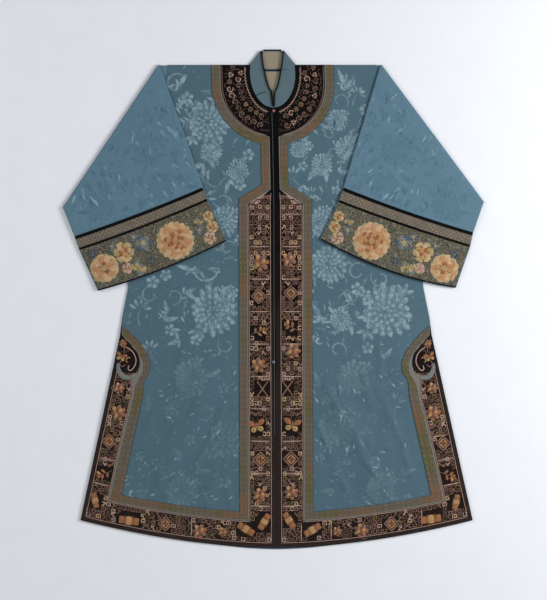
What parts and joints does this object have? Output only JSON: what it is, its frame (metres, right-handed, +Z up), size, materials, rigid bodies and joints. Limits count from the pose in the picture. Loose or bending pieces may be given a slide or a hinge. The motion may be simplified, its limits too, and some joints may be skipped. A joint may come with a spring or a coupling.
{
  "type": "embroidered silk robe",
  "caption": "Side-slit silk damask robe with black embroidered borders, laid flat, sleeves folded forward over the front.",
  "frame": {"origin": "centre of the footprint, on the surface that the robe lies on", "axes": "+X to the viewer's right across the front, +Y from hem to collar, +Z up, out of the front"},
  "size_m": [1.0946, 1.2993, 0.0102],
  "materials": {
    "silk": "blue-green silk damask with paler woven flowers",
    "satin": "plain black satin",
    "embroidery": "black satin with couched gold and pink silk embroidery",
    "ribbon": "woven olive ribbon with a small flower pattern",
    "braid": "narrow pale grey-blue braid",
    "gold": "narrow gold woven band",
    "flowers": "olive knotted ground with peach silk flowers",
    "lining": "cream silk lining",
    "knot": "pink knotted cord"
  },
  "bodies": {
    "root": {"back_panel": "silk", "binding_left": "satin", "binding_right": "satin", "border_left": "embroidery", "border_right": "embroidery", "braid_left": "braid", "braid_right": "braid", "button_front": "satin", "button_neck": "knot", "collar": "silk", "collar_lining": "lining", "collar_piping_back": "satin", "collar_piping_left": "satin", "collar_piping_right": "satin", "cuff_band_left": "flowers", "cuff_band_right": "flowers", "cuff_binding_left": "satin", "cuff_binding_right": "satin", "cuff_braid_left": "gold", "cuff_braid_right": "gold", "cuff_stripe_lower_left": "satin", "cuff_stripe_lower_right": "satin", "cuff_stripe_upper_left": "satin", "cuff_stripe_upper_right": "satin", "front_left": "silk", "front_right": "silk", "neck_lining": "lining", "neck_piping_back": "satin", "neck_piping_left": "satin", "neck_piping_right": "satin", "ribbon_left": "ribbon", "ribbon_right": "ribbon", "sleeve_left": "silk", "sleeve_right": "silk", "yoke_left": "embroidery", "yoke_right": "embroidery"}
  },
  "joints": []
}
